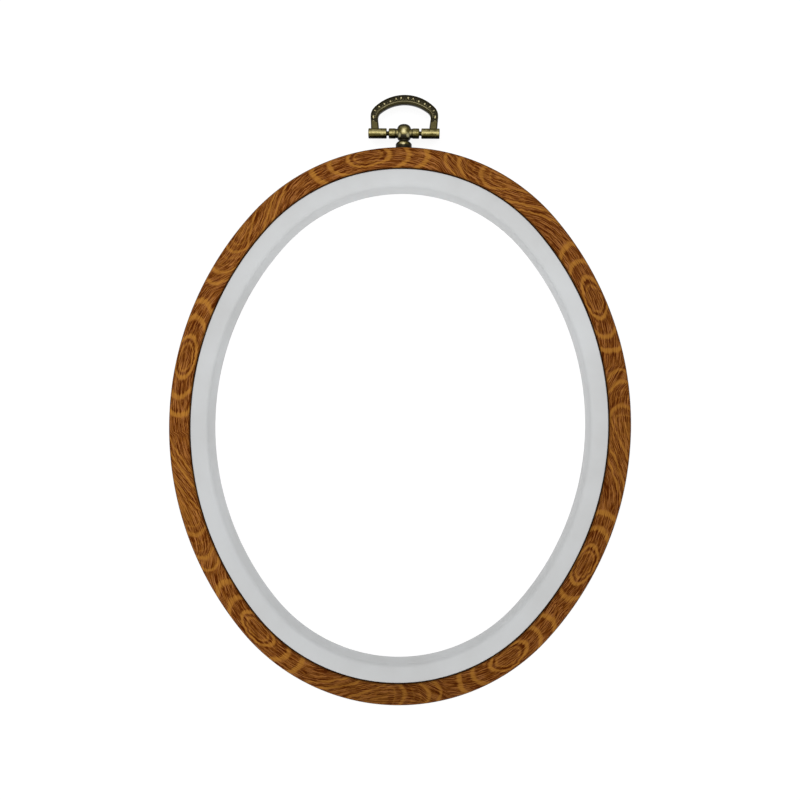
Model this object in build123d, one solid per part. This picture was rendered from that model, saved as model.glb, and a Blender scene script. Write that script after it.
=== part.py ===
from build123d import *
import math
import os

# Oval embroidery hoop, lying on its back. The hoop lies in X and Y, with the hanger
# towards +Y and the front towards +Z. The origin is the middle of the back plane.
# Sizes are in millimetres and angles in degrees.

# The oval of the whole hoop, seen from the front: two flat side arcs that run smoothly into
# two rounder end arcs. The blend angle is half of what each side arc spans.
oval_width = 154.5
oval_height = 186.3
oval_blend_angle = 41.3

# Outer ring, soft vinyl
vinyl_width = 7.2
vinyl_height = 8.4
vinyl_edge_radius = 1.4
vinyl_inner_bevel = 0.9

# Inner ring, rigid plastic
plastic_width = 6.0
plastic_height = 9.5
lip_thickness = 1.6
lip_reach = 3.2
channel_wall = 1.8
channel_floor = 1.9
bore_bevel = 0.8

# How the two rings meet
cloth_gap = 0.3
draft_angle = 2.0

# Hanger, from the ring outwards
pivot_height = 5.7
collar_diameter = 5.5
collar_undercut = 0.4
collar_top_land = 0.3
collar_height = 2.9
collar_rim_height = 1.7
collar_rim_band = 0.6
collar_shoulder_height = 2.4
collar_seat_depth = 0.3
collar_seat_clearance = 0.1

# Ball head, turned in one piece with its two arms
ball_diameter = 4.9
ball_rise = 3.1
ball_shoulder_rise = 1.4
ball_base_radius = 2.5
neck_shoulder = 0.25
neck_length = 0.3
spigot_diameter = 2.6
spigot_length = 2.4
head_length = 10.4
arm_diameter = 3.4
arm_chamfer = 0.35
groove_diameter = 2.8
groove_width = 0.45

# Hinge pin
pin_diameter = 1.5
pin_recess = 0.3
pin_chamfer = 0.15

# Bail: a D-shaped loop on two barrels
barrel_diameter = 3.4
barrel_length = 6.2
barrel_chamfer = 0.2
barrel_gap = 0.7
bail_rise = 13.05
bail_foot_inset = 0.95
bail_flare = 0.45
bail_flare_rise = 7.0
bail_arch_radius = 14.6
bail_inner_arch_radius = 12.6
bail_crown_band = 3.15
bail_side_band = 2.4
bail_foot_band = 2.75
bail_corner_radius = 4.3
bail_inner_corner_radius = 2.65
bail_thickness = 2.0
bail_edge_chamfer = 0.4

# Fixing screw and its washer, inside the outer ring
screw_diameter = 2.0
screw_head_diameter = 3.8
screw_head_height = 1.2
screw_head_chamfer = 0.4
screw_slot_width = 0.6
screw_slot_depth = 0.6
screw_recess = 2.2
screw_tip_chamfer = 0.3
screw_tip_gap = 0.2
screw_tip_wall = 0.6
washer_diameter = 4.6
washer_thickness = 0.4

# Clearances and the overrun of cuts
screw_clearance = 0.1
washer_clearance = 0.2
swivel_clearance = 0.05
hinge_clearance = 0.05
cut_overrun = 1.0

# Sizes that follow from those above
half_width = oval_width / 2
half_height = oval_height / 2
blend_turn = math.radians(oval_blend_angle)
blend_radius = (half_height - half_width) / (math.sin(blend_turn) + math.cos(blend_turn) - 1)
end_centre = blend_radius * math.sin(blend_turn)
side_centre = blend_radius * math.cos(blend_turn)
end_radius = half_height - end_centre
side_radius = half_width + side_centre

hanger_level = lip_thickness + vinyl_height / 2
pivot_y = half_height + pivot_height
collar_base_y = half_height - collar_seat_depth
collar_top_y = half_height + collar_height
collar_foot_radius = collar_diameter / 2 - collar_undercut
screw_seat_y = half_height - vinyl_width + screw_recess
screw_neck_y = screw_seat_y - washer_thickness
screw_tip_y = pivot_y - pin_diameter / 2 - screw_tip_wall
screw_hole_diameter = screw_diameter + 2 * screw_clearance
barrel_start = head_length / 2 + barrel_gap
barrel_end = barrel_start + barrel_length


def lean(height):
    # How far a drafted wall leans inward over this height
    return height * math.tan(math.radians(draft_angle))


vinyl_back_width = vinyl_width - lean(vinyl_height)
plastic_wall_height = plastic_height - lip_thickness


def nearest_corner(face, place):
    return face.vertices().sort_by_distance(place)[0]


def oval_ring(section):
    # Carries a section round the oval, by an exact turn about the centre of each of its four arcs.
    # In the section, X runs outward from the oval's outline and Y is the height above the back.
    side_turn = 2 * oval_blend_angle
    end_turn = 180 - side_turn
    arcs = [
        (Vector(-side_centre, 0), side_radius, -oval_blend_angle, side_turn),
        (Vector(0, end_centre), end_radius, oval_blend_angle, end_turn),
        (Vector(side_centre, 0), side_radius, 180 - oval_blend_angle, side_turn),
        (Vector(0, -end_centre), end_radius, 180 + oval_blend_angle, end_turn),
    ]
    ring = Part()
    for centre, radius, start, turn in arcs:
        outward = Vector(1, 0).rotate(Axis.Z, start)
        plane = Plane(origin=centre + outward * radius, x_dir=outward, z_dir=outward.cross(Vector(0, 0, 1)))
        ring += revolve(plane * section, Axis(centre, (0, 0, 1)), revolution_arc=turn)
    return ring


def along_hanger(radius, start_y, end_y):
    # A round bar on the hanger's axis, from one height to another
    bar = Cylinder(radius, end_y - start_y, align=(Align.CENTER, Align.CENTER, Align.MIN))
    return Pos(0, start_y, hanger_level) * Rot(-90, 0, 0) * bar


def turned_on_hanger(profile):
    # A profile drawn beside the hanger's axis, X outward and Y along it, turned round that axis
    return Pos(0, 0, hanger_level) * revolve(profile, Axis.Y)


def outer_ring():
    front = lip_thickness + vinyl_height
    back_outer = (0, lip_thickness)
    back_inner = (-vinyl_back_width, lip_thickness)
    front_inner = (-vinyl_width, front)
    front_outer = (0, front)
    section = make_face(Polyline(back_outer, back_inner, front_inner, front_outer, close=True))
    section = fillet(nearest_corner(section, front_outer), vinyl_edge_radius)
    section = chamfer(nearest_corner(section, front_inner), vinyl_inner_bevel)
    ring = oval_ring(section)

    # Flat seat for the collar, hole for the screw, and a pocket for its head and washer
    seat_radius = collar_foot_radius + collar_seat_clearance
    pocket_radius = washer_diameter / 2 + washer_clearance
    wall_y = half_height - vinyl_width
    ring -= along_hanger(seat_radius, collar_base_y, half_height + cut_overrun)
    ring -= along_hanger(screw_hole_diameter / 2, wall_y, half_height)
    ring -= along_hanger(pocket_radius, wall_y - cut_overrun, screw_seat_y)
    return ring


def inner_ring():
    wall_back = -(vinyl_back_width + cloth_gap)
    wall_front = wall_back - lean(plastic_wall_height)
    bore = wall_front - plastic_width
    lip_edge = wall_back + lip_reach
    corners = [
        (bore, 0),
        (lip_edge, 0),
        (lip_edge, lip_thickness),
        (wall_back, lip_thickness),
        (wall_front, plastic_height),
        (bore, plastic_height),
    ]
    section = make_face(Polyline(*corners, close=True))
    section = chamfer(nearest_corner(section, (bore, plastic_height)), bore_bevel)
    return oval_ring(section - channel_section(wall_back, bore))


def channel_section(wall_back, bore):
    # The core left out of the thick part of the ring, open at the back and narrower inside
    depth = plastic_height - channel_floor
    outer_side = wall_back - channel_wall
    inner_side = bore + channel_wall
    outer_end = outer_side - lean(depth)
    inner_end = inner_side + lean(depth)
    corners = [(inner_side, 0), (outer_side, 0), (outer_end, depth), (inner_end, depth)]
    return make_face(Polyline(*corners, close=True))


def base_collar():
    # A turned bead with a sloping top, bored for the spigot of the ball head
    bore_radius = spigot_diameter / 2 + swivel_clearance
    rim_radius = collar_diameter / 2
    top_radius = bore_radius + collar_top_land
    rim_y = half_height + collar_rim_height
    corners = [
        (bore_radius, collar_base_y),
        (collar_foot_radius, collar_base_y),
        (collar_foot_radius, half_height),
        (rim_radius, rim_y - collar_rim_band / 2),
        (rim_radius, rim_y + collar_rim_band / 2),
        (collar_foot_radius, half_height + collar_shoulder_height),
        (top_radius, collar_top_y),
        (bore_radius, collar_top_y),
    ]
    return turned_on_hanger(make_face(Polyline(*corners, close=True)))


def ball_profile():
    # Half of the turned ball, from its domed top down to the spigot in the collar
    ball_radius = ball_diameter / 2
    top = (0, pivot_y + ball_rise)
    shoulder = (ball_radius, pivot_y + ball_shoulder_rise)
    spigot_radius = spigot_diameter / 2
    neck_radius = spigot_radius + neck_shoulder
    neck_y = collar_top_y + neck_length
    base_centre_y = neck_y + math.sqrt(ball_base_radius**2 - neck_radius**2)
    cheek_y = base_centre_y - math.sqrt(ball_base_radius**2 - ball_radius**2)
    base_turn = math.degrees(math.asin(neck_radius / ball_base_radius))
    cheek_turn = math.degrees(math.asin(ball_radius / ball_base_radius))
    spigot_end_y = collar_top_y - spigot_length
    outline = [
        TangentArc(top, shoulder, tangent=(1, 0)),
        Line(shoulder, (ball_radius, cheek_y)),
        CenterArc((0, base_centre_y), ball_base_radius, base_turn - 90, cheek_turn - base_turn),
        Polyline((neck_radius, neck_y), (neck_radius, collar_top_y), (spigot_radius, collar_top_y)),
        Line((spigot_radius, collar_top_y), (spigot_radius, spigot_end_y)),
        Polyline((spigot_radius, spigot_end_y), (0, spigot_end_y), top),
    ]
    return make_face(outline)


def ball_head():
    # The two arms are one bar through the ball, with a groove close to it on each side
    bar = Rot(0, 90, 0) * Cylinder(arm_diameter / 2, head_length)
    bar = chamfer(bar.edges().filter_by(GeomType.CIRCLE), arm_chamfer)
    groove_middle = (ball_diameter + groove_width) / 2
    groove = Cylinder(arm_diameter, groove_width) - Cylinder(groove_diameter / 2, groove_width)
    for side in (-1, 1):
        bar -= Pos(side * groove_middle, 0, 0) * Rot(0, 90, 0) * groove
    head = turned_on_hanger(ball_profile()) + Pos(0, pivot_y, hanger_level) * bar
    head -= along_hanger(screw_diameter / 2, collar_base_y, screw_tip_y + screw_tip_gap)
    return head - pin_bore(pin_diameter / 2)


def pin_bore(radius):
    # The straight hole along the hinge, right through everything on it
    bore = Cylinder(radius, 2 * (barrel_end + cut_overrun))
    return Pos(0, pivot_y, hanger_level) * Rot(0, 90, 0) * bore


def hinge_pin():
    pin = Rot(0, 90, 0) * Cylinder(pin_diameter / 2, 2 * (barrel_end - pin_recess))
    pin = chamfer(pin.edges().filter_by(GeomType.CIRCLE), pin_chamfer)
    return Pos(0, pivot_y, hanger_level) * pin


def bail_outline(foot_half, flare, crown_rise, arch_radius, corner_radius):
    # A D: two leaning sides cut off by an arch, and rounded where they meet it
    top_half = foot_half + flare * crown_rise / bail_flare_rise
    corners = [(-foot_half, 0), (foot_half, 0), (top_half, crown_rise), (-top_half, crown_rise)]
    sides = make_face(Polyline(*corners, close=True))
    outline = sides & Pos(0, crown_rise - arch_radius) * Circle(arch_radius)
    return fillet(outline.vertices().sort_by(Axis.Y)[-2:], corner_radius)


def bail():
    foot_half = barrel_end - bail_foot_inset
    inner_half = foot_half - bail_foot_band
    inner_flare = bail_flare + bail_foot_band - bail_side_band
    inner_rise = bail_rise - bail_crown_band
    outer = bail_outline(foot_half, bail_flare, bail_rise, bail_arch_radius, bail_corner_radius)
    inner = bail_outline(inner_half, inner_flare, inner_rise, bail_inner_arch_radius, bail_inner_corner_radius)
    loop = extrude(outer - inner, bail_thickness / 2, both=True)
    rims = loop.edges().filter_by(Plane.XY).filter_by(lambda edge: edge.center().Y > barrel_diameter / 4)
    loop = chamfer(rims, bail_edge_chamfer)

    barrel = Rot(0, 90, 0) * Cylinder(barrel_diameter / 2, barrel_length)
    barrel = chamfer(barrel.edges().filter_by(GeomType.CIRCLE), barrel_chamfer)
    for side in (-1, 1):
        loop += Pos(side * (barrel_start + barrel_end) / 2, 0, 0) * barrel
    return Pos(0, pivot_y, hanger_level) * loop - pin_bore(pin_diameter / 2 + hinge_clearance)


def fixing_screw():
    head = along_hanger(screw_head_diameter / 2, screw_neck_y - screw_head_height, screw_neck_y)
    head = chamfer(head.edges().filter_by(GeomType.CIRCLE).sort_by(Axis.Y)[0], screw_head_chamfer)
    slot = Box(screw_head_diameter, screw_slot_depth, screw_slot_width, align=(Align.CENTER, Align.MIN, Align.CENTER))
    head -= Pos(0, screw_neck_y - screw_head_height, hanger_level) * slot
    shank = along_hanger(screw_diameter / 2, screw_neck_y, screw_tip_y)
    shank = chamfer(shank.edges().filter_by(GeomType.CIRCLE).sort_by(Axis.Y)[-1], screw_tip_chamfer)
    return head + shank


def screw_washer():
    plate = along_hanger(washer_diameter / 2, screw_neck_y, screw_seat_y)
    return plate - along_hanger(screw_hole_diameter / 2, screw_neck_y, screw_seat_y)


parts = {
    "outer_ring": outer_ring(),
    "inner_ring": inner_ring(),
    "base_collar": base_collar(),
    "ball_head": ball_head(),
    "hinge_pin": hinge_pin(),
    "bail": bail(),
    "fixing_screw": fixing_screw(),
    "screw_washer": screw_washer(),
}

os.makedirs("parts", exist_ok=True)
for name, solid in parts.items():
    export_step(solid, f"parts/{name}.step")
    print(name, solid.bounding_box())
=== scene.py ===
import bmesh
import bpy
import math
from mathutils import Matrix, Vector


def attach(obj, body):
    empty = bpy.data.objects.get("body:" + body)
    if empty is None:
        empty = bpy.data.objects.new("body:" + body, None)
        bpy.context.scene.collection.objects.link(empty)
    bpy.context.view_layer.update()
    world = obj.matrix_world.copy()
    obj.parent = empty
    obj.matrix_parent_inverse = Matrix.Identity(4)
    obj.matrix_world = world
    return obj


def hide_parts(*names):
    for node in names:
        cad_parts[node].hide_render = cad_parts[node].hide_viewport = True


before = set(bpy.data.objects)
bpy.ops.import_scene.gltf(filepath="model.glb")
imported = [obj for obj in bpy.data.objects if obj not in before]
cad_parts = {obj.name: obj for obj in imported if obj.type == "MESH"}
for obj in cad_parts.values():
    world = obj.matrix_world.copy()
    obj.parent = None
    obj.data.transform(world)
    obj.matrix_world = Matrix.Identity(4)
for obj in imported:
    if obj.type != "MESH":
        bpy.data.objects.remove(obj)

scene = bpy.context.scene
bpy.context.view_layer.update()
mm = 0.001  # all sizes below are in millimetres
hair = 0.01  # a length too small to matter

# the camera, which looks almost straight down at the hoop
view = {
    "place": (14.94, 2.27, 279.0),
    "turn": (1.296, 2.944, 1.337),  # degrees about X, Y and Z
    "lens": 36.438, "sensor": 36,
    "nearest": 10, "farthest": 20000,
}
camera = bpy.data.objects.new("camera", bpy.data.cameras.new("camera"))
scene.collection.objects.link(camera)
camera.location = Vector(view["place"]) * mm
camera.rotation_euler = [math.radians(angle) for angle in view["turn"]]
camera.data.lens = view["lens"]
camera.data.sensor_width = view["sensor"]
camera.data.clip_start = view["nearest"] * mm
camera.data.clip_end = view["farthest"] * mm
scene.camera = camera
print("camera ready")

# three soft lights that face the hoop
lights = {
    "softboxTop": {"place": (0, 110, 330), "size": (420, 190), "power": 0.64},
    "softboxLeft": {"place": (-300, -430, 230), "size": (240, 200), "power": 0.68},
    "softboxRight": {"place": (300, -430, 230), "size": (240, 200), "power": 0.6},
}
for name, light in lights.items():
    lamp = bpy.data.lights.new(name, "AREA")
    lamp.shape = "RECTANGLE"
    lamp.size, lamp.size_y = [side * mm for side in light["size"]]
    lamp.energy = light["power"]
    lampObject = bpy.data.objects.new(name, lamp)
    scene.collection.objects.link(lampObject)
    lampObject.location = Vector(light["place"]) * mm
    lampObject.rotation_euler = (-lampObject.location).to_track_quat("-Z", "Y").to_euler()


def addNode(tree, kind, **settings):
    node = tree.nodes.new("ShaderNode" + kind)
    for key, value in settings.items():
        setattr(node, key, value)
    return node


def wire(tree, start, end):
    tree.links.new(start, end)


def mathNode(tree, operation, *inputs):
    # a maths node, fed by sockets or plain numbers
    node = addNode(tree, "Math", operation=operation)
    for slot, value in zip(node.inputs, inputs):
        if isinstance(value, (int, float)):
            slot.default_value = value
        else:
            wire(tree, value, slot)
    return node.outputs[0]


def seenDirectly(tree):
    # 1 for what the camera, a mirror or a glass sees, 0 for the rest
    path = addNode(tree, "LightPath")
    flag = mathNode(tree, "MAXIMUM", path.outputs["Is Camera Ray"], path.outputs["Is Glossy Ray"])
    return mathNode(tree, "MAXIMUM", flag, path.outputs["Is Transmission Ray"])


def greyDiffuse(tree, grey):
    node = addNode(tree, "BsdfDiffuse")
    node.inputs["Color"].default_value = (grey, grey, grey, 1)
    return node.outputs[0]


# the world and the floor, both white where they are seen, and dimmer as light on the hoop
surroundings = {
    "ambient": 0.36,
    "floorSize": 6000, "floorDrop": 0.1, "floorGlow": 0.9, "floorShade": 0.2, "floorBounce": 0.88,
}
ambient = surroundings["ambient"]
world = bpy.data.worlds.new("studio")
scene.world = world
world.use_nodes = True
tree = world.node_tree
background = tree.nodes["Background"]
background.inputs["Color"].default_value = (1, 1, 1, 1)
strength = mathNode(tree, "MULTIPLY_ADD", seenDirectly(tree), 1 - ambient, ambient)
wire(tree, strength, background.inputs["Strength"])

floorMaterial = bpy.data.materials.new("paleFloor")
floorMaterial.use_nodes = True
tree = floorMaterial.node_tree
tree.nodes.clear()
glow = addNode(tree, "Emission")
glow.inputs["Strength"].default_value = surroundings["floorGlow"]
pale = addNode(tree, "AddShader")
wire(tree, greyDiffuse(tree, surroundings["floorShade"]), pale.inputs[0])
wire(tree, glow.outputs[0], pale.inputs[1])
choose = addNode(tree, "MixShader")
wire(tree, seenDirectly(tree), choose.inputs["Fac"])
wire(tree, greyDiffuse(tree, surroundings["floorBounce"]), choose.inputs[1])
wire(tree, pale.outputs[0], choose.inputs[2])
wire(tree, choose.outputs[0], addNode(tree, "OutputMaterial").inputs["Surface"])

half = surroundings["floorSize"] * mm / 2
floorCorners = [(-half, -half, 0), (half, -half, 0), (half, half, 0), (-half, half, 0)]
floorMesh = bpy.data.meshes.new("floor")
floorMesh.from_pydata(floorCorners, [], [(0, 1, 2, 3)])
floorMesh.materials.append(floorMaterial)
floor = bpy.data.objects.new("floor", floorMesh)
scene.collection.objects.link(floor)
floor.location.z = -surroundings["floorDrop"] * mm
print("lights and floor ready")


# what the materials are made with
def newMaterial(name, color, look, metallic=0.0):
    material = bpy.data.materials.new(name)
    material.use_nodes = True
    shader = material.node_tree.nodes["Principled BSDF"]
    shader.inputs["Base Color"].default_value = (*color, 1)
    shader.inputs["Roughness"].default_value = look["roughness"]
    shader.inputs["Metallic"].default_value = metallic
    shader.inputs["Specular IOR Level"].default_value = look["specular"]
    return material, material.node_tree, shader


def rampNode(tree, value, stops):
    # a ramp of greys through (place, strength) stops
    ramp = addNode(tree, "ValToRGB")
    elements = ramp.color_ramp.elements
    while len(elements) < len(stops):
        elements.new(1)
    for element, (place, grey) in zip(elements, stops):
        element.position = place
        element.color = (grey, grey, grey, 1)
    wire(tree, value, ramp.inputs["Fac"])
    return ramp.outputs["Color"]


def curveNode(tree, value, points):
    # a float curve through (place, height) points
    curve = addNode(tree, "FloatCurve")
    line = curve.mapping.curves[0]
    line.points[0].location = points[0]
    line.points[1].location = points[-1]
    for point in points[1:-1]:
        line.points.new(*point)
    curve.mapping.update()
    wire(tree, value, curve.inputs["Value"])
    return curve.outputs["Value"]


def mixColors(tree, factor, first, second):
    # mixes two colours, each a socket or three plain numbers
    node = addNode(tree, "Mix", data_type="RGBA")
    sockets = [item for item in node.inputs if item.type == "RGBA"]
    wire(tree, factor, node.inputs["Factor"])
    for socket, value in zip(sockets, (first, second)):
        if isinstance(value, tuple):
            socket.default_value = (*value, 1)
        else:
            wire(tree, value, socket)
    return [item for item in node.outputs if item.type == "RGBA"][0]


def paintOver(tree, color, value, stops, paint):
    # covers a colour with a paint, as far as a ramp of the value says
    return mixColors(tree, rampNode(tree, value, stops), color, paint)


def noiseNode(tree, vector, scale, detail=2.0, roughness=0.5, distortion=0.0):
    noise = addNode(tree, "TexNoise")
    noise.inputs["Scale"].default_value = scale
    noise.inputs["Detail"].default_value = detail
    noise.inputs["Roughness"].default_value = roughness
    noise.inputs["Distortion"].default_value = distortion
    wire(tree, vector, noise.inputs["Vector"])
    return noise.outputs["Fac"]


def centered(tree, noise):
    # a noise, less its middle value
    return mathNode(tree, "SUBTRACT", noise, 0.5)


def joinVector(tree, x, y):
    joined = addNode(tree, "CombineXYZ")
    wire(tree, x, joined.inputs["X"])
    wire(tree, y, joined.inputs["Y"])
    return joined.outputs[0]


def splitVector(tree, vector):
    parts = addNode(tree, "SeparateXYZ")
    wire(tree, vector, parts.inputs[0])
    return parts.outputs["X"], parts.outputs["Y"]


def varyRoughness(tree, shader, noise, look):
    # the roughness goes up and down by half its spread
    low = look["roughness"] - look["roughnessSpread"] / 2
    rough = mathNode(tree, "MULTIPLY_ADD", noise, look["roughnessSpread"], low)
    wire(tree, rough, shader.inputs["Roughness"])


def addBump(tree, shader, height, strength, distance):
    bump = addNode(tree, "Bump")
    bump.inputs["Strength"].default_value = strength
    bump.inputs["Distance"].default_value = distance * mm
    wire(tree, height, bump.inputs["Height"])
    wire(tree, bump.outputs["Normal"], shader.inputs["Normal"])


def srgb(*levels):
    # screen levels from 0 to 255, as the linear values that a shader takes
    shares = [level / 255 for level in levels]
    return tuple(share / 12.92 if share <= 0.04045 else ((share + 0.055) / 1.055) ** 2.4 for share in shares)


# The wood print repeats along the ring. Each repeat has an eye with arcs to both sides of it,
# and then nested leaning arcs that close further on. Sizes are in millimetres of the print, and
# lists are (place, strength) stops. A noise has its scale, detail, roughness and distortion.
woodPrint = {
    "repeat": 100.0, "bandHalf": 3.6, "roughness": 0.5, "roughnessSpread": 0.24, "specular": 0.02,
    "bump": (0.2, 0.05),  # strength and millimetres
    "brown": srgb(124, 71, 17), "lightBrown": srgb(154, 98, 40), "red": srgb(118, 59, 9),
    "darkStreak": srgb(76, 29, 0), "paleStreak": srgb(160, 104, 56),
    # edge is the colour of the painted shade along both edges of the band
    "ochre": srgb(169, 113, 45), "deepOchre": srgb(150, 95, 30), "edge": srgb(52, 28, 8),

    # the eye, with its ochre rings and the dark shades between them
    "eyePlace": 25.0, "eyeSquash": 2.3, "eyeReach": 25.0,
    "eyeRings": [
        (0.0, 0.35), (0.03, 0.1), (0.085, 0.1), (0.1, 0.5), (0.115, 0.1), (0.175, 0.1), (0.19, 0.7),
        (0.21, 0.6), (0.225, 0.0), (0.265, 0.0), (0.28, 0.95), (0.32, 1.0), (0.345, 0.0), (0.52, 0.0),
        (0.54, 0.95), (0.59, 0.95), (0.615, 0.0), (0.765, 0.0), (0.785, 1.0), (0.84, 1.0), (0.865, 0.0),
    ],
    "eyeShades": [
        (0.0, 0.35), (0.16, 0.3), (0.18, 0.0), (0.215, 0.0), (0.232, 0.8), (0.258, 0.8), (0.275, 0.0),
        (0.33, 0.0), (0.355, 0.45), (0.38, 0.0), (0.51, 0.3), (0.53, 0.0),
    ],
    "shadeStreaks": [(0.45, 1.0), (0.62, 0.25)],

    # the nested arcs, with a leaning left flank and a rounded right one
    "arcMiddle": 54.0, "arcLean": 2.03, "arcLeft": 23.0,
    "arcRaise": 1.0, "arcBend": 0.17, "arcRight": 21.275, "arcBlend": 0.3,
    "arcs": [
        (0.0, 0.5), (0.06, 0.1), (0.12, 0.1), (0.14, 0.75), (0.165, 0.1), (0.235, 0.0), (0.26, 0.8),
        (0.3, 0.9), (0.325, 0.0), (0.4, 0.0), (0.42, 0.6), (0.44, 0.0), (0.53, 0.1), (0.55, 0.65),
        (0.565, 0.0), (0.635, 0.0), (0.66, 0.95), (0.7, 0.95), (0.73, 0.05), (0.78, 0.3), (0.79, 0.0),
        (0.855, 0.0), (0.875, 0.9), (0.915, 0.9), (0.935, 0.0),
    ],
    "ringCover": 0.75,  # how far the rings and arcs hide the dark streaks

    # how the grain drifts sideways along a repeat, and how far the eyes and arcs waver
    "drift": [
        (0, 0.25), (0.1, 0.08), (0.2, 0.0), (0.45, 0.0), (0.52, 0.07), (0.78, 0.88), (0.86, 0.92),
        (0.93, 0.66), (1, 0.25),
    ],
    "driftHeight": 12.0,
    "wobbleNoise": (0.13, 2), "rippleNoise": (0.55, 2),
    "wobble": 3.0, "fray": 3.0, "ripple": 1.2,
    # three kinds of streaks, each with its scales along and across the print
    "streaks": {"along": 0.12, "ripple": 2.3, "across": 3.6, "noise": (1.0, 2.4, 0.6, 0.1)},
    "fineStreaks": {"along": 0.28, "ripple": 3.4, "across": 5.6, "noise": (1.0, 1.0)},
    "longStreaks": {"along": 0.11, "ripple": 0.6, "across": 0.9, "noise": (1.0, 2.0)},

    # how much of each colour shows
    "lightPart": [(0.4, 0.0), (0.6, 1.0)], "redPart": [(0.02, 0.0), (0.16, 0.6)],
    "palePart": [(0.53, 0.0), (0.59, 0.95)], "deepOchrePart": [(0.3, 1.0), (0.5, 0.0)],
    "darkPart": [(0.46, 1.0), (0.5, 0.0)], "fineDarkPart": [(0.39, 0.95), (0.46, 0.0)],
    # painted shade along both edges of the band: how fast it grows, and how much of it shows
    "edgeShadeScale": 0.85, "edgeShadePart": [(0.74, 0.0), (0.89, 0.75), (0.98, 0.9)],

    # the print's tone: all round, how much paler on the ring's left than on its right, and from
    # the ring's bottom to its top; these slow changes are partly the print's own tone and partly painted
    # light and shade
    "tone": 1.16, "paleLeft": 0.22,
    "heightTones": [(0.0, 0.7), (0.025, 0.72), (0.08, 0.9), (0.5, 0.965), (1.0, 0.98)],
}


def streakNoise(tree, along, drift, ripple, kind):
    # streaks along the print, bent by its drift and made uneven by the ripple
    bent = mathNode(tree, "MULTIPLY", drift, kind["across"])
    uneven = mathNode(tree, "MULTIPLY_ADD", ripple, kind["ripple"], bent)
    place = joinVector(tree, mathNode(tree, "MULTIPLY", along, kind["along"]), uneven)
    return noiseNode(tree, place, *kind["noise"])


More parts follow.
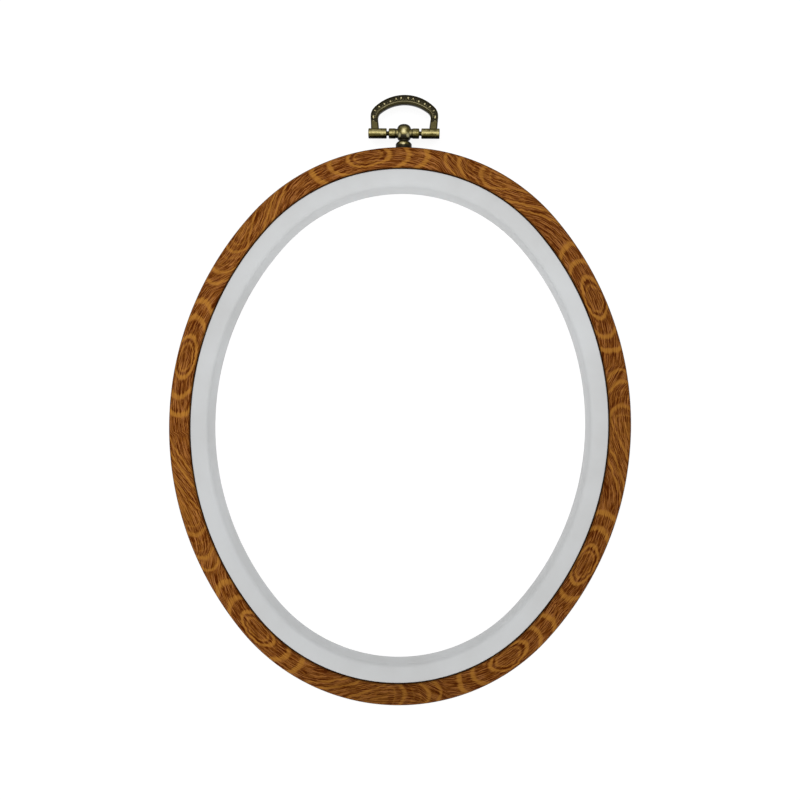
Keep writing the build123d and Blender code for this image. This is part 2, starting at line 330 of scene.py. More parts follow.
def vinylWoodgrain():
    look = woodPrint
    material, tree, shader = newMaterial("vinylWoodgrain", look["brown"], look)
    printX, printY = splitVector(tree, addNode(tree, "UVMap", uv_map="grainMap").outputs["UV"])
    phase = mathNode(tree, "FRACT", printX)
    along = mathNode(tree, "MULTIPLY", printX, look["repeat"])
    across = mathNode(tree, "MULTIPLY", printY, look["bandHalf"])

    # the streaks follow the drift of the grain
    flat = joinVector(tree, along, across)
    wobble = centered(tree, noiseNode(tree, flat, *look["wobbleNoise"]))
    ripple = centered(tree, noiseNode(tree, flat, *look["rippleNoise"]))
    shape = curveNode(tree, phase, look["drift"])
    drift = mathNode(tree, "MULTIPLY_ADD", shape, look["driftHeight"], across)
    streaks = streakNoise(tree, along, drift, ripple, look["streaks"])
    fineStreaks = streakNoise(tree, along, drift, ripple, look["fineStreaks"])
    longStreaks = streakNoise(tree, along, drift, ripple, look["longStreaks"])

    # how far this place is from the eye, with the print's width counted more than its length
    place = mathNode(tree, "MULTIPLY_ADD", phase, look["repeat"], -look["eyePlace"])
    place = mathNode(tree, "MULTIPLY_ADD", wobble, look["wobble"], place)
    place = mathNode(tree, "MULTIPLY_ADD", centered(tree, streaks), look["fray"], place)
    height = mathNode(tree, "MULTIPLY_ADD", ripple, look["ripple"], across)
    tall = mathNode(tree, "MULTIPLY", height, look["eyeSquash"])
    square = mathNode(tree, "MULTIPLY_ADD", tall, tall, mathNode(tree, "MULTIPLY", place, place))
    distance = mathNode(tree, "DIVIDE", mathNode(tree, "SQRT", square), look["eyeReach"])
    eyeRings = rampNode(tree, distance, look["eyeRings"])

    # the same for the nested arcs, one flank at a time
    beyond = mathNode(tree, "SUBTRACT", place, look["arcMiddle"])
    before = mathNode(tree, "MULTIPLY", beyond, -1.0)
    left = mathNode(tree, "MULTIPLY_ADD", height, -look["arcLean"], before)
    left = mathNode(tree, "DIVIDE", left, look["arcLeft"])
    raised = mathNode(tree, "SUBTRACT", height, look["arcRaise"])
    bulge = mathNode(tree, "MULTIPLY", raised, raised)
    right = mathNode(tree, "MULTIPLY_ADD", bulge, look["arcBend"], beyond)
    right = mathNode(tree, "DIVIDE", right, look["arcRight"])
    nested = mathNode(tree, "SMOOTH_MAX", left, right, look["arcBlend"])
    rings = mathNode(tree, "MAXIMUM", eyeRings, rampNode(tree, nested, look["arcs"]))

    # brown wood, ochre rings, and dark streaks that the rings hide
    color = paintOver(tree, look["brown"], longStreaks, look["lightPart"], look["lightBrown"])
    color = paintOver(tree, color, ripple, look["redPart"], look["red"])
    color = paintOver(tree, color, streaks, look["palePart"], look["paleStreak"])
    ochre = paintOver(tree, look["ochre"], streaks, look["deepOchrePart"], look["deepOchre"])
    color = mixColors(tree, rings, color, ochre)
    dark = rampNode(tree, streaks, look["darkPart"])
    dark = mathNode(tree, "MAXIMUM", dark, rampNode(tree, fineStreaks, look["fineDarkPart"]))
    bare = mathNode(tree, "MULTIPLY_ADD", rings, -look["ringCover"], 1.0)
    color = mixColors(tree, mathNode(tree, "MULTIPLY", dark, bare), color, look["darkStreak"])
    eyeShade = rampNode(tree, distance, look["eyeShades"])
    eyeShade = mathNode(tree, "MULTIPLY", eyeShade, rampNode(tree, streaks, look["shadeStreaks"]))
    color = mixColors(tree, eyeShade, color, look["darkStreak"])

    # painted shade: the print is darker towards both edges of the band, where they turn away from the light
    # and where the gap at the bore lies in shadow
    edgeY = splitVector(tree, addNode(tree, "UVMap", uv_map="edgeMap").outputs["UV"])[1]
    fromMiddle = mathNode(tree, "MULTIPLY", mathNode(tree, "ABSOLUTE", edgeY), look["edgeShadeScale"])
    color = paintOver(tree, color, fromMiddle, look["edgeShadePart"], look["edge"])

    # the whole print is paler at the ring's left and darker at its very bottom, partly as the print's own
    # tone and partly as painted light and shade
    fromLeft, fromBottom = splitVector(tree, addNode(tree, "TexCoord").outputs["Generated"])
    leftTone = look["tone"] + look["paleLeft"] / 2
    tone = mathNode(tree, "MULTIPLY_ADD", fromLeft, -look["paleLeft"], leftTone)
    tone = mathNode(tree, "MULTIPLY", tone, rampNode(tree, fromBottom, look["heightTones"]))
    toned = addNode(tree, "HueSaturation")
    wire(tree, color, toned.inputs["Color"])
    wire(tree, tone, toned.inputs["Value"])
    wire(tree, toned.outputs["Color"], shader.inputs["Base Color"])
    varyRoughness(tree, shader, streaks, look)
    addBump(tree, shader, streaks, *look["bump"])
    return material


# the other finishes follow the piece itself, and the scales of their noises are per metre
plasticLook = {
    "color": srgb(211, 213, 214), "dusty": srgb(203, 204, 204),
    "clouds": (45, 4, 0.6), "dustyPart": [(0.35, 0.0), (0.7, 1.0)],
    "roughness": 0.45, "roughnessSpread": 0.14, "specular": 0.3,
    "grain": (2200, 2), "bump": (0.12, 0.03),
}


def whitePlastic():
    look = plasticLook
    material, tree, shader = newMaterial("whitePlastic", look["color"], look)
    place = addNode(tree, "TexCoord").outputs["Object"]
    clouds = noiseNode(tree, place, *look["clouds"])
    color = paintOver(tree, look["color"], clouds, look["dustyPart"], look["dusty"])
    wire(tree, color, shader.inputs["Base Color"])
    varyRoughness(tree, shader, clouds, look)
    addBump(tree, shader, noiseNode(tree, place, *look["grain"]), *look["bump"])
    return material


# Aged brass has patina all over, rubbed off on what stands out; faces that point along Z are painted
# brighter and faces that point sideways darker, partly as patina rubbed off the front and back and partly as
# painted light and shade.
# The points of a mesh may carry two values: patina with painted shade, and wear with painted highlights and
# glints, shown as bare bright metal.
brassFinish = {
    "litAndRubbedFrom": (0, 0, 1), "patches": (850, 4, 0.65), "patchiness": 0.7,
    "olivePart": [(0.26, 0.0), (0.72, 1.0)], "brassPart": [(0.86, 0.0), (1.0, 1.0)],
    "specks": (5200, 3, 0.6), "specksPart": [(0.32, 0.6), (0.5, 0.0)],
    "patinaAndShadePart": [(0.1, 0.0), (0.9, 0.95)], "patinaAndShadeMetal": [(0.5, 1.0), (1.0, 0.15)],
    "wearAndHighlightPart": [(0.1, 0.0), (0.75, 1.0)],
    "roughnessSpread": 0.3, "specular": 0.1, "bump": (0.2, 0.04),
}
brassLook = {
    **brassFinish, "roughness": 0.32,
    "patinaAndShadeColor": srgb(24, 19, 7), "olive": srgb(82, 74, 36),
    "brass": srgb(146, 136, 92), "wearAndHighlight": srgb(208, 199, 154),
}
bailLook = {
    **brassFinish, "roughness": 0.38,
    "patinaAndShadeColor": srgb(31, 27, 13), "olive": srgb(68, 62, 36),
    "brass": srgb(74, 68, 42), "wearAndHighlight": srgb(168, 158, 118),
}
# the pin's colours are darker than the rest of the brass: painted shade for the narrow gaps between the
# barrels and the arms where the pin shows
shadedPinLook = {
    **brassFinish, "roughness": 0.45,
    "patinaAndShadeColor": srgb(22, 19, 9), "olive": srgb(40, 35, 17),
    "brass": srgb(58, 52, 28), "wearAndHighlight": srgb(120, 110, 70),
}


def antiqueBrass(name, look):
    material, tree, shader = newMaterial(name, look["olive"], look, metallic=1.0)
    coordinates = addNode(tree, "TexCoord")
    patches = noiseNode(tree, coordinates.outputs["Object"], *look["patches"])
    specks = noiseNode(tree, coordinates.outputs["Object"], *look["specks"])
    # partly painted light and shade: brighter where a face points along Z, to the front or the back, darker
    # where it points sideways
    facing = addNode(tree, "VectorMath", operation="DOT_PRODUCT")
    wire(tree, coordinates.outputs["Normal"], facing.inputs[0])
    facing.inputs[1].default_value = look["litAndRubbedFrom"]
    facingShare = mathNode(tree, "ABSOLUTE", facing.outputs["Value"])
    litAndRubbed = mathNode(tree, "MULTIPLY_ADD", centered(tree, patches), look["patchiness"], facingShare)
    # the two values on the points: patina with painted shade, and wear with painted highlights and glints
    patinaAndShade = addNode(tree, "Attribute", attribute_name="patinaAndShade").outputs["Fac"]
    wearAndHighlight = addNode(tree, "Attribute", attribute_name="wearAndHighlight").outputs["Fac"]
    color = paintOver(tree, look["patinaAndShadeColor"], litAndRubbed, look["olivePart"], look["olive"])
    color = paintOver(tree, color, litAndRubbed, look["brassPart"], look["brass"])
    color = paintOver(tree, color, specks, look["specksPart"], look["patinaAndShadeColor"])
    color = paintOver(tree, color, patinaAndShade, look["patinaAndShadePart"], look["patinaAndShadeColor"])
    color = paintOver(tree, color, wearAndHighlight, look["wearAndHighlightPart"], look["wearAndHighlight"])
    wire(tree, color, shader.inputs["Base Color"])
    wire(tree, rampNode(tree, patinaAndShade, look["patinaAndShadeMetal"]), shader.inputs["Metallic"])
    varyRoughness(tree, shader, patches, look)
    addBump(tree, shader, specks, *look["bump"])
    return material


steelLook = {
    "color": srgb(196, 198, 200), "dull": srgb(142, 143, 144), "spangle": (1400, 3),
    "roughness": 0.35, "roughnessSpread": 0.3, "specular": 0.5, "bump": (0.2, 0.04),
}


def zincSteel():
    look = steelLook
    material, tree, shader = newMaterial("zincSteel", look["color"], look, metallic=1.0)
    spangle = noiseNode(tree, addNode(tree, "TexCoord").outputs["Object"], *look["spangle"])
    wire(tree, mixColors(tree, spangle, look["dull"], look["color"]), shader.inputs["Base Color"])
    varyRoughness(tree, shader, spangle, look)
    addBump(tree, shader, spangle, *look["bump"])
    return material


woodMaterial = vinylWoodgrain()
plasticMaterial = whitePlastic()
brassMaterial = antiqueBrass("antiqueBrass", brassLook)
bailMaterial = antiqueBrass("antiqueBrassRelief", bailLook)
shadedPinMaterial = antiqueBrass("antiqueBrassPinShaded", shadedPinLook)
steelMaterial = zincSteel()
print("materials ready")

# what the meshes are made with, all in millimetres
meshing = {
    "sharpAngle": 35,  # edges bent by more degrees than this stay sharp
    "mergeDistance": 0.00001,
    "axisRadius": 0.001,  # stands for a point on the axis of a turned shape
}


def addPiece(name, points, faces, body, material, slot, nodes=(), sharp=meshing["sharpAngle"]):
    # makes a piece from points in millimetres and hangs it on its body
    mesh = bpy.data.meshes.new(name)
    mesh.from_pydata([Vector(point) * mm for point in points], [], faces)
    work = bmesh.new()
    work.from_mesh(mesh)
    bmesh.ops.remove_doubles(work, verts=work.verts, dist=meshing["mergeDistance"] * mm)
    bmesh.ops.recalc_face_normals(work, faces=work.faces)
    work.to_mesh(mesh)
    work.free()
    smoothMesh(mesh, sharp)
    mesh.materials.append(material)
    piece = bpy.data.objects.new(name, mesh)
    scene.collection.objects.link(piece)
    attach(piece, body)
    if nodes:
        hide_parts(*nodes)
    return piece


def smoothMesh(mesh, sharp):
    mesh.shade_smooth()
    mesh.set_sharp_from_angle(angle=math.radians(sharp))


def paintPoints(piece, pointValues):
    # stores two values, each from 0 to 1, on every point of a piece, for its material to read: patina with
    # painted shade, and wear with painted highlights
    for name, values in zip(("patinaAndShade", "wearAndHighlight"), zip(*pointValues)):
        layer = piece.data.attributes.new(name, "FLOAT", "POINT")
        layer.data.foreach_set("value", values)


def clamped(*values):
    # the largest of the values, kept between 0 and 1
    return min(1, max(0, *values))


def roundedCorners(corners, steps=5):
    # a closed outline from (x, y, radius) corners, with each corner rounded
    outline = []
    for index, (x, y, radius) in enumerate(corners):
        here = Vector((x, y))
        if radius == 0:
            outline.append(here)
            continue
        before = (Vector(corners[index - 1][:2]) - here).normalized()
        after = (Vector(corners[(index + 1) % len(corners)][:2]) - here).normalized()
        halfAngle = before.angle(after) / 2
        center = here + (before + after).normalized() * (radius / math.sin(halfAngle))
        start = here + before * (radius / math.tan(halfAngle)) - center
        end = here + after * (radius / math.tan(halfAngle)) - center
        turn = start.angle_signed(end)
        for step in range(steps + 1):
            outline.append(center + Matrix.Rotation(-turn * step / steps, 2) @ start)
    return outline


def arcPoints(center, radius, start, end, steps):
    # points on an arc, from one angle in degrees to another
    angles = [math.radians(start + (end - start) * step / steps) for step in range(steps + 1)]
    return [(center[0] + radius * math.cos(angle), center[1] + radius * math.sin(angle)) for angle in angles]


def runningLengths(line):
    # how far along a line each of its points is
    lengths = [0.0]
    for before, after in zip(line, line[1:]):
        lengths.append(lengths[-1] + (after - before).length)
    return lengths


def gridFaces(rows, count, closed=True):
    # faces between rows of points, each row a closed loop: here, beside, ahead and beside, ahead
    faces = []
    for row in range(rows if closed else rows - 1):
        here, ahead = row * count, (row + 1) % rows * count
        for index in range(count):
            beside = (index + 1) % count
            faces.append((here + index, here + beside, ahead + beside, ahead + index))
    return faces


def joinShells(*shells):
    # puts several closed shells into one list of points and faces
    points, faces = [], []
    for shellPoints, shellFaces in shells:
        offset = len(points)
        points += shellPoints
        faces += [tuple(index + offset for index in face) for face in shellFaces]
    return points, faces


# the oval that both rings follow, as four arcs: center, radius, first angle and turn
oval = {"width": 154.5, "height": 186.3, "blendAngle": 41.3, "stations": 480}
halfWidth, halfHeight = oval["width"] / 2, oval["height"] / 2
blendTurn = math.radians(oval["blendAngle"])
blendRadius = (halfHeight - halfWidth) / (math.sin(blendTurn) + math.cos(blendTurn) - 1)
endCenter, sideCenter = blendRadius * math.sin(blendTurn), blendRadius * math.cos(blendTurn)
endRadius, sideRadius = halfHeight - endCenter, halfWidth + sideCenter
ovalArcs = [
    ((-sideCenter, 0), sideRadius, -blendTurn, 2 * blendTurn),
    ((0, endCenter), endRadius, blendTurn, math.pi - 2 * blendTurn),
    ((sideCenter, 0), sideRadius, math.pi - blendTurn, 2 * blendTurn),
    ((0, -endCenter), endRadius, math.pi + blendTurn, math.pi - 2 * blendTurn),
]
ovalLength = sum(radius * turn for _, radius, _, turn in ovalArcs)


def ovalPoint(length):
    # the place and the outward direction at a length round the oval, from its right end
    length = (length + sideRadius * blendTurn) % ovalLength
    for (x, y), radius, start, turn in ovalArcs:
        if length <= radius * turn:
            break
        length -= radius * turn
    angle = start + min(length / radius, turn)
    outward = Vector((math.cos(angle), math.sin(angle)))
    return Vector((x, y)) + outward * radius, outward


def sweptRing(section, stations):
    # carries a section of (reach, height) points round the oval
    points = []
    for station in range(stations):
        place, outward = ovalPoint(ovalLength * station / stations)
        for reach, height in section:
            points.append((*(place + outward * reach), height))
    faces = gridFaces(stations, len(section))
    return points, [(here, ahead, across, beside) for here, beside, across, ahead in faces]


# where the hanger's parts meet, on an axis that points straight out of the oval's top
hanger = {"level": 5.8, "pivotY": 98.85, "ringTopY": 93.15, "collarTopY": 96.05}
level, pivotY = hanger["level"], hanger["pivotY"]
ringTopY, collarTopY = hanger["ringTopY"], hanger["collarTopY"]

# outer ring: soft vinyl with the wood print
outerRing = {
    "width": 7.2, "backWidth": 6.907, "back": 1.6, "front": 10.0,
    "outerEdge": 1.3, "innerEdge": 1.1, "backEdge": 0.6, "edgeSteps": 6,
    "seatRadius": 2.45, "seatY": 92.85, "holeRadius": 1.1, "pocketRadius": 2.5, "pocketY": 88.15,
    "cutOutside": 1, "cutInside": 2, "cutSides": 48,  # how far the cutters stick out, and their sides
    # Two lengths of the print meet on the ring. Each has its start and then its eyes, as the
    # millimetres anticlockwise from the right end and the share that the eye is off the middle.
    "prints": [
        (272.8, [(348.6, -0.3), (446.7, -0.2)]),
        (471.5, [(488.4, -0.15), (582.0, 0.1), (682.6, 0.35), (782.8, 0.1)]),
    ],
    "firstRepeat": 20, "seamJump": 0.1,  # both in repeats of the print
    "bakeStrips": 16, "bakeMargins": (0.004, 0.02),
}
section = roundedCorners([
    (0, outerRing["back"], outerRing["backEdge"]),
    (0, outerRing["front"], outerRing["outerEdge"]),
    (-outerRing["width"], outerRing["front"], outerRing["innerEdge"]),
    (-outerRing["backWidth"], outerRing["back"], outerRing["backEdge"]),
], outerRing["edgeSteps"])


def printAt(length):
    # how many repeats along the print a place on the ring is, and how far the print is off the middle
    while length < outerRing["prints"][0][0]:
        length += ovalLength
    eyes = [eyes for start, eyes in outerRing["prints"] if start <= length + hair][-1]
    before = max([index for index, eye in enumerate(eyes[:-1]) if eye[0] <= length] or [0])
    (first, firstShift), (second, secondShift) = eyes[before], eyes[before + 1]
    share = (length - first) / (second - first)
    eyePhase = woodPrint["eyePlace"] / woodPrint["repeat"]
    shift = firstShift + (secondShift - firstShift) * clamped(share)
    return before + share + eyePhase + outerRing["firstRepeat"], shift


def addRingMaps(mesh, section, stations):
    # Two maps run along the print in repeats, and across it from about -1 at the bore to 1 at the
    # outer edge: one follows the print's shifts, the other doesn't. The third lays the ring out as
    # strips that fill the square.
    for name in ("grainMap", "edgeMap", "OFBake"):
        mesh.uv_layers.new(name=name)
    grainLayer, edgeLayer, bakeLayer = mesh.uv_layers
    count, strips = len(section), outerRing["bakeStrips"]
    perStrip = stations // strips
    marginX, marginY = outerRing["bakeMargins"]
    front = [index for index, point in enumerate(section) if point.y > outerRing["front"] - hair]
    reach = runningLengths(section + section[:1])
    middle = (reach[front[0]] + reach[front[-1]]) / 2
    for polygon in mesh.polygons:
        station, index = divmod(polygon.index, count)
        strip, inStrip = divmod(station, perStrip)
        middleLength = ovalLength * (station + 0.5) / stations
        middlePlace = printAt(middleLength)[0]
        for corner, (ahead, beside) in zip(polygon.loop_indices, ((0, 0), (1, 0), (1, 1), (0, 1))):
            length = ovalLength * (station + ahead) / stations
            along, shift = printAt(length)
            if abs(along - middlePlace) > outerRing["seamJump"]:
                along = middlePlace + (length - middleLength) / woodPrint["repeat"]
            across = (middle - reach[index + beside]) / woodPrint["bandHalf"]
            grainLayer.data[corner].uv = (along, across - shift)
            edgeLayer.data[corner].uv = (along, across)
            bakeX = marginX + (inStrip + ahead) / perStrip * (1 - 2 * marginX)
            bakeY = marginY + reach[index + beside] / reach[-1] * (1 - 2 * marginY)
            bakeLayer.data[corner].uv = (bakeX, (strip + bakeY) / strips)


def hangerCutter(name, radius, startY, endY):
    # a short cylinder on the hanger's axis, to cut with
    work = bmesh.new()
    bmesh.ops.create_cone(
        work, cap_ends=True, segments=outerRing["cutSides"],
        radius1=radius, radius2=radius, depth=endY - startY)
    bmesh.ops.rotate(work, verts=work.verts, matrix=Matrix.Rotation(math.pi / 2, 3, "X"))
    bmesh.ops.translate(work, verts=work.verts, vec=(0, (startY + endY) / 2, level))
    bmesh.ops.scale(work, verts=work.verts, vec=(mm, mm, mm))
    mesh = bpy.data.meshes.new(name)
    work.to_mesh(mesh)
    work.free()
    cutter = bpy.data.objects.new(name, mesh)
    scene.collection.objects.link(cutter)
    return cutter


points, faces = sweptRing(section, oval["stations"])
outerMesh = bpy.data.meshes.new("outerRingUncut")
outerMesh.from_pydata([Vector(point) * mm for point in points], [], faces)
addRingMaps(outerMesh, section, oval["stations"])
outerMesh.materials.append(woodMaterial)
outerPiece = bpy.data.objects.new("outerRing", outerMesh)
scene.collection.objects.link(outerPiece)
cutStart = ringTopY - outerRing["width"] - outerRing["cutInside"]
cutEnd = ringTopY + outerRing["cutOutside"]
cutters = [
    hangerCutter("seatCutter", outerRing["seatRadius"], outerRing["seatY"], cutEnd),
    hangerCutter("holeCutter", outerRing["holeRadius"], cutStart, cutEnd),
    hangerCutter("pocketCutter", outerRing["pocketRadius"], cutStart, outerRing["pocketY"]),
]
for cutter in cutters:
    cut = outerPiece.modifiers.new(cutter.name, "BOOLEAN")
    cut.object = cutter
    cut.operation = "DIFFERENCE"
    cut.solver = "EXACT"
bpy.context.view_layer.update()
cutMesh = bpy.data.meshes.new_from_object(outerPiece.evaluated_get(bpy.context.evaluated_depsgraph_get()))
outerPiece.modifiers.clear()
outerPiece.data = cutMesh
cutMesh.name = "outerRing"
smoothMesh(cutMesh, meshing["sharpAngle"])
for cutter in cutters:
    bpy.data.objects.remove(cutter)
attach(outerPiece, "outer_ring")
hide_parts("outer_ring")
print("outer ring ready")

# inner ring: rigid white plastic, with a lip at the back and a channel that is open to the back
innerRing = {
    "lipEdge": -4.007, "wallBack": -7.207, "wallFront": -7.483, "bore": -13.483, "height": 9.5, "lip": 1.6,
    "channelDepth": 7.6, "channelWall": 1.8, "channelTaper": 0.265,
    "boreEdge": 1.25, "edge": 0.35, "innerCorner": 0.2, "channelEnd": 0.5, "edgeSteps": 5,
}
channelOutside = innerRing["wallBack"] - innerRing["channelWall"]
channelInside = innerRing["bore"] + innerRing["channelWall"]
section = roundedCorners([
    (innerRing["bore"], 0, innerRing["edge"]),
    (innerRing["bore"], innerRing["height"], innerRing["boreEdge"]),
    (innerRing["wallFront"], innerRing["height"], innerRing["edge"]),
    (innerRing["wallBack"], innerRing["lip"], innerRing["innerCorner"]),
    (innerRing["lipEdge"], innerRing["lip"], innerRing["edge"]),
    (innerRing["lipEdge"], 0, innerRing["edge"]),
    (channelOutside, 0, innerRing["innerCorner"]),
    (channelOutside - innerRing["channelTaper"], innerRing["channelDepth"], innerRing["channelEnd"]),
    (channelInside + innerRing["channelTaper"], innerRing["channelDepth"], innerRing["channelEnd"]),
    (channelInside, 0, innerRing["innerCorner"]),
], innerRing["edgeSteps"])
points, faces = sweptRing(section, oval["stations"])
addPiece("innerRing", points, faces, "inner_ring", plasticMaterial, "white_plastic", ["inner_ring"])
print("inner ring ready")


def turned(profile, sides, axis):
    # turns a profile of (radius, along) points round the hanger's axis or the hinge's
    points = []
    for side in range(sides):
        angle = 2 * math.pi * side / sides
        beside, up = math.cos(angle), math.sin(angle)
        for radius, along in profile:
            if axis == "hanger":
                points.append((radius * beside, along, level + radius * up))
            else:
                points.append((along, pivotY + radius * beside, level + radius * up))
    return points, gridFaces(sides, len(profile))


def turnedPair(corners, steps, sides):
    # the same turned shape on both sides of the hinge's middle
    shells = []
    for side in (-1, 1):
        profile = [(radius, side * along) for radius, along in roundedCorners(corners, steps)]
        shells.append(turned(profile, sides, "hinge"))
    return shells


# collar: painted shade below its rim and at its sides, with one painted highlight on the front of its
# shoulder
collar = {
    "bore": 1.35, "foot": 2.35, "rim": 2.75, "shoulder": 2.3, "top": 1.65, "sides": 64,
    "baseY": 92.85, "rimStart": 1.2, "rimEnd": 1.95, "shoulderRise": 2.5,
    "footEdge": 0.1, "rimStartEdge": 0.5, "rimEndEdge": 0.45, "shoulderEdge": 1.2, "topEdge": 0.1,
    "edgeSteps": 6,
    "shadeBelow": 1.42, "shadeBelowFade": 0.25, "shadeBeside": 0.9, "shadeBesideFade": 1.3,
    "highlightAmount": 0.52, "highlightRise": 1.5, "highlightTall": 0.5, "highlightWide": 0.85,
}
profile = roundedCorners([
    (collar["bore"], collar["baseY"], 0),
    (collar["foot"], collar["baseY"], 0),
    (collar["foot"], ringTopY, collar["footEdge"]),
    (collar["rim"], ringTopY + collar["rimStart"], collar["rimStartEdge"]),
    (collar["rim"], ringTopY + collar["rimEnd"], collar["rimEndEdge"]),
    (collar["shoulder"], ringTopY + collar["shoulderRise"], collar["shoulderEdge"]),
    (collar["top"], collarTopY, collar["topEdge"]),
    (collar["bore"], collarTopY, 0),
], collar["edgeSteps"])
points, faces = turned(profile, collar["sides"], "hanger")
collarPiece = addPiece(
    "baseCollar", points, faces, "outer_ring", brassMaterial, "antique_brass", ["base_collar"])


# painted shade below the rim and towards the sides, and a painted highlight on the front of the shoulder
def collarShadeAndHighlight(point):
    rise = point.y - ringTopY
    below = (collar["shadeBelow"] - rise) / collar["shadeBelowFade"]
    beside = (abs(point.x) - collar["shadeBeside"]) / collar["shadeBesideFade"]
    spot = 1 - ((rise - collar["highlightRise"]) / collar["highlightTall"]) ** 2 - (point.x / collar["highlightWide"]) ** 2
    return clamped(below, beside), collar["highlightAmount"] * max(0, spot) if point.z > level else 0


paintPoints(collarPiece, [collarShadeAndHighlight(vertex.co / mm) for vertex in collarPiece.data.vertices])

# ball head: a full, rounded body, wider than a sphere towards its top and bottom, on a spigot
ball = {
    "radius": 2.45, "half": 2.8, "middle": 0.15, "fullness": 3.3, "steps": 40, "sides": 64,
    "neck": 1.55, "spigot": 1.3, "spigotLength": 2.4, "screwHole": 1.0, "screwHoleEnd": 1.15,
    "room": 0.02,  # between the ball's neck and the collar, so that the head can turn
    "sharpAngle": 40,
    # painted glints, as directions from the pivot, and painted shade below and above
    "paintedGlints": [(-0.58, -0.42, 0.7), (0.58, -0.42, 0.7), (0, 0.08, 1)],
    "glintAmount": 0.42, "glintEdge": 0.93, "glintFade": 0.06,
    "shadeBelow": -0.25, "shadeBelowFade": 1.1, "shadeAbove": 0.6, "shadeAboveAmount": 0.55,
}
ballMiddle = pivotY + ball["middle"]
profile = [(meshing["axisRadius"], ballMiddle + ball["half"])]
for step in range(1, ball["steps"]):
    turn = math.pi * step / ball["steps"]
    reach = math.sin(turn) ** (2 / ball["fullness"]) * ball["radius"]
    rise = math.copysign(abs(math.cos(turn)) ** (2 / ball["fullness"]), math.cos(turn)) * ball["half"]
    if rise > 0 or reach > ball["neck"]:
        profile.append((reach, ballMiddle + rise))
neckY = collarTopY + ball["room"]
spigotY = collarTopY - ball["spigotLength"]
holeY = pivotY - ball["screwHoleEnd"]
profile += [
    (ball["neck"], neckY), (ball["spigot"], neckY), (ball["spigot"], spigotY),
    (ball["screwHole"], spigotY), (ball["screwHole"], holeY), (meshing["axisRadius"], holeY),
]
ballShell = turned(profile, ball["sides"], "hanger")

arm = {
    "radius": 1.7, "start": 1.2, "end": 5.2, "edge": 0.35, "sides": 56, "edgeSteps": 5,
    "groove": 1.56, "grooveEnd": 2.9, "grooveEdge": 0.1, "shoulderEdge": 0.15,
    "shadeEnd": 3.25, "shadeFade": 0.7, "overlap": 0.4,  # how far the ball counts as arm
# painted shade on each arm, from the ball out to this distance from the middle
}
armShells = turnedPair([
    (meshing["axisRadius"], arm["start"], 0),
    (arm["groove"], arm["start"], 0),
    (arm["groove"], arm["grooveEnd"], arm["grooveEdge"]),
    (arm["radius"], arm["grooveEnd"], arm["shoulderEdge"]),
    (arm["radius"], arm["end"], arm["edge"]),
    (meshing["axisRadius"], arm["end"], 0),
], arm["edgeSteps"], arm["sides"])
points, faces = joinShells(ballShell, *armShells)
ballPiece = addPiece(
    "ballHead", points, faces, "hanger_head", brassMaterial, "antique_brass", ["ball_head"],
    ball["sharpAngle"])


# painted shade on the arms next to the ball and on the ball below and above, and painted glints on the ball
def headShadeAndGlints(point):
    direction = point - Vector((0, pivotY, level))
    fromHinge = math.hypot(direction.y, direction.z)
    if fromHinge < arm["radius"] + 2 * hair and abs(point.x) > ball["radius"] - arm["overlap"]:
        return clamped((arm["shadeEnd"] - abs(point.x)) / arm["shadeFade"]), 0
    nearness = max(direction.normalized().dot(Vector(spot).normalized()) for spot in ball["paintedGlints"])
    wearAndHighlight = max(0, ball["glintAmount"] * (nearness - ball["glintEdge"]) / ball["glintFade"])
    below = (ball["shadeBelow"] - direction.y) / ball["shadeBelowFade"]
    above = ball["shadeAboveAmount"] * (direction.y - ball["shadeAbove"])
    return clamped(below, above) * (1 - clamped(wearAndHighlight)), wearAndHighlight


paintPoints(ballPiece, [headShadeAndGlints(vertex.co / mm) for vertex in ballPiece.data.vertices])
print("ball head and collar ready")

# bail: a D-shaped band with a relief on its front, and a barrel on each foot
bail = {
    "footHalf": 11.15, "flare": 0.45, "flareRise": 7.0, "rise": 13.05,
    "archRadius": 14.6, "cornerRadius": 4.3,
    "footBand": 2.75, "sideBand": 2.4, "crownBand": 3.15, "innerArch": 12.6, "innerCorner": 2.65,
    "thickness": 2.0, "edge": 0.45, "startY": 1.05, "sharpAngle": 50,
    "legSteps": 40, "cornerSteps": 30, "archSteps": 50, "stations": 300, "acrossSteps": 30, "edgeSteps": 3,
    # the recess between the rims, down to where the feet are plain
    "rim": 0.36, "recess": 0.25, "slope": 0.12, "plainFoot": 3.1, "reliefFoot": 1.5,
    # raised dots: millimetres from the crown's middle, half lengths, and places in from the outer edge
    "dots": [
        (1.3, 0.42, 1.1), (3.2, 0.36, 1.15), (5.5, 0.42, 1.42), (8.0, 0.42, 1.3), (10.2, 0.38, 1.05),
        (12.3, 0.3, 1.0), (14.7, 0.75, 1.1), (16.4, 0.5, 1.08),
    ],
    "dotHalfWidth": 0.38, "dotHeight": 0.4,
    "ridgePlace": 0.72, "ridgeHalfWidth": 0.24, "ridgeHeight": 0.26, "ridgeWorn": 0.6,
    "markStart": 1.35, "markPitch": 1.05, "markHeight": 0.2, "markReach": 0.42, "markHalfWidth": 0.17,
    "markWorn": 0.5,
    # how dark the rims, the plain feet, the rounded edges and the back are, and the most patina in the
    # recess
    "rimDarkening": 0.55, "footDarkening": 0.22, "edgeDarkening": 0.6, "backDarkening": 0.3, "mostDirt": 0.85,
}


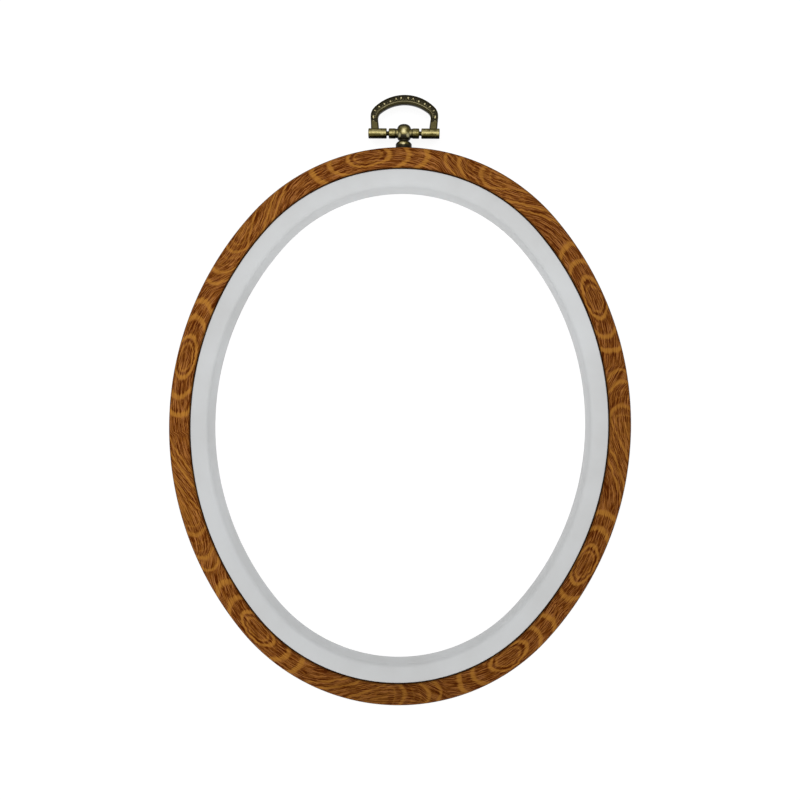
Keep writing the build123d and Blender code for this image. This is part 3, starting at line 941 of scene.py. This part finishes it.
def bailOutline(footHalf, flare, rise, archRadius, cornerRadius):
    # the right half of a D outline from foot to crown, as closely spaced points
    direction = Vector((flare / bail["flareRise"], 1)).normalized()
    inward = Vector((-direction.y, direction.x))
    archCenter = Vector((0, rise - archRadius))
    start = Vector((footHalf, 0)) + inward * cornerRadius - archCenter
    slant = start.dot(direction)
    along = -slant + math.sqrt(slant ** 2 - start.length_squared + (archRadius - cornerRadius) ** 2)
    corner = archCenter + start + direction * along
    legSteps = bail["legSteps"]
    outline = [Vector((footHalf, 0)) + direction * along * step / legSteps for step in range(legSteps + 1)]
    first = math.degrees(math.atan2(-inward.y, -inward.x))
    last = math.degrees(math.atan2(*reversed(corner - archCenter)))
    rounding = arcPoints(corner, cornerRadius, first, last, bail["cornerSteps"])
    arch = arcPoints(archCenter, archRadius, last, 90, bail["archSteps"])
    return outline + [Vector(point) for point in rounding + arch]


def evenPoints(outline, count, startY):
    # the outline from startY up, as evenly spaced points
    outline = [point for point in outline if point.y >= startY]
    lengths = runningLengths(outline)
    result, index = [], 0
    for step in range(count + 1):
        target = lengths[-1] * step / count
        while index < len(outline) - 2 and lengths[index + 1] < target:
            index += 1
        span = lengths[index + 1] - lengths[index] or 1
        result.append(outline[index].lerp(outline[index + 1], (target - lengths[index]) / span))
    return result


def bailRelief(length, share, width):
    # the front's height against its rims, and how dark and how worn the finish is there: patina in the
    # recess, and darker rims and plain feet
    outside, inside = share * width, (1 - share) * width
    toFoot = bailLength - bail["plainFoot"] - length
    if min(outside, inside) < bail["rim"]:
        return 0.0, bail["rimDarkening"], 0.0
    if toFoot < 0:
        return 0.0, bail["footDarkening"], 0.0
    slope = min(1, *[room / bail["slope"] for room in (outside - bail["rim"], inside - bail["rim"], toFoot)])
    height, wearAndHighlight = -bail["recess"] * slope, 0.0
    ridge = 1 - abs(share - bail["ridgePlace"]) * width / bail["ridgeHalfWidth"]
    if ridge > 0 and toFoot > bail["reliefFoot"]:
        height, wearAndHighlight = max(height, -bail["recess"] + bail["ridgeHeight"] * ridge), bail["ridgeWorn"] * ridge
    # small slanting marks between the dots and the ridge
    lane = (outside - bail["markStart"]) / (bail["ridgePlace"] * width - bail["markStart"])
    if 0 < lane < 1 and toFoot > bail["reliefFoot"]:
        sway = abs((length / bail["markPitch"]) % 1 - 0.5) * bail["markPitch"]
        mark = 1 - abs(sway - lane * bail["markPitch"] * bail["markReach"]) / bail["markHalfWidth"]
        if mark > 0:
            height = max(height, -bail["recess"] + bail["markHeight"] * mark)
            wearAndHighlight = max(wearAndHighlight, bail["markWorn"] * mark)
    for dot, halfLength, inset in bail["dots"]:
        distance = math.hypot((length - dot) / halfLength, (outside - inset) / bail["dotHalfWidth"])
        if distance < 1:
            dome = math.sqrt(1 - distance ** 2)
            height, wearAndHighlight = max(height, -bail["recess"] + bail["dotHeight"] * dome), max(wearAndHighlight, dome)
    return height, min(bail["mostDirt"], max(0, -height / bail["recess"])) * (1 - wearAndHighlight), wearAndHighlight


def edgeArc(place, height, start, end, patinaAndShade):
    # a rounded edge of the band, from one angle to another, as (place, height, darkening, wear)
    arc = arcPoints((place, height), bail["edge"], start, end, bail["edgeSteps"])
    return [(*point, patinaAndShade, 0) for point in arc]


def bandLoop(length, width):
    # once round the band: over its front from the outer edge to the inner one, and back behind
    edge, halfThickness = bail["edge"], bail["thickness"] / 2
    loop = edgeArc(edge, halfThickness - edge, 180, 90, bail["edgeDarkening"])
    for step in range(1, bail["acrossSteps"]):
        place = edge + (width - 2 * edge) * step / bail["acrossSteps"]
        height, patinaAndShade, wearAndHighlight = bailRelief(length, place / width, width)
        loop.append((place, halfThickness + height, patinaAndShade, wearAndHighlight))
    loop += edgeArc(width - edge, halfThickness - edge, 90, 0, bail["edgeDarkening"])
    loop += edgeArc(width - edge, edge - halfThickness, 0, -90, bail["backDarkening"])
    loop += edgeArc(edge, edge - halfThickness, -90, -180, bail["backDarkening"])
    return loop


outerOutline = bailOutline(
    bail["footHalf"], bail["flare"], bail["rise"], bail["archRadius"], bail["cornerRadius"])
innerOutline = bailOutline(
    bail["footHalf"] - bail["footBand"], bail["flare"] + bail["footBand"] - bail["sideBand"],
    bail["rise"] - bail["crownBand"], bail["innerArch"], bail["innerCorner"])
outerLine = evenPoints(outerOutline, bail["stations"], bail["startY"])
innerLine = evenPoints(innerOutline, bail["stations"], bail["startY"])
lengths = runningLengths(outerLine)
bailLength = lengths[-1]

# up the right half and down the left one, with each place's length from the crown's middle
places = [
    (outer, inner, bailLength - length, 1) for outer, inner, length in zip(outerLine, innerLine, lengths)
]
places += [(outer, inner, length, -1) for outer, inner, length, _ in reversed(places[:-1])]
points, pointValues = [], []
for outer, inner, length, side in places:
    loop = bandLoop(length, (outer - inner).length)
    across = (inner - outer).normalized()
    for place, height, patinaAndShade, wearAndHighlight in loop:
        spot = outer + across * place
        points.append((side * spot.x, pivotY + spot.y, level + height))
        pointValues.append((patinaAndShade, wearAndHighlight))
count = len(loop)
faces = gridFaces(len(places), count, closed=False)
faces.append(tuple(range(count)))
faces.append(tuple(range(len(points) - 1, len(points) - 1 - count, -1)))
bailLoop = addPiece(
    "bailLoop", points, faces, "bail", bailMaterial, "antique_brass", ["bail"], bail["sharpAngle"])
paintPoints(bailLoop, pointValues)

barrel = {
    "radius": 1.7, "bore": 0.8, "start": 5.9, "end": 12.1, "sides": 56,
    "edge": 0.2, "boreEdge": 0.08, "edgeSteps": 4,
}
barrelShells = turnedPair([
    (barrel["bore"], barrel["start"], barrel["boreEdge"]),
    (barrel["radius"], barrel["start"], barrel["edge"]),
    (barrel["radius"], barrel["end"], barrel["edge"]),
    (barrel["bore"], barrel["end"], barrel["boreEdge"]),
], barrel["edgeSteps"], barrel["sides"])
addPiece("bailBarrels", *joinShells(*barrelShells), "bail", brassMaterial, "antique_brass")
print("bail ready")

# the pin, the screw and the washer keep their shape
repainted = {"hinge_pin": shadedPinMaterial, "fixing_screw": steelMaterial, "screw_washer": steelMaterial}
for node, material in repainted.items():
    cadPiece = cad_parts[node]
    cadPiece.data.materials.clear()
    cadPiece.data.materials.append(material)
print("pin, screw and washer ready")

scene.view_settings.view_transform = "Standard"
print("scene ready")
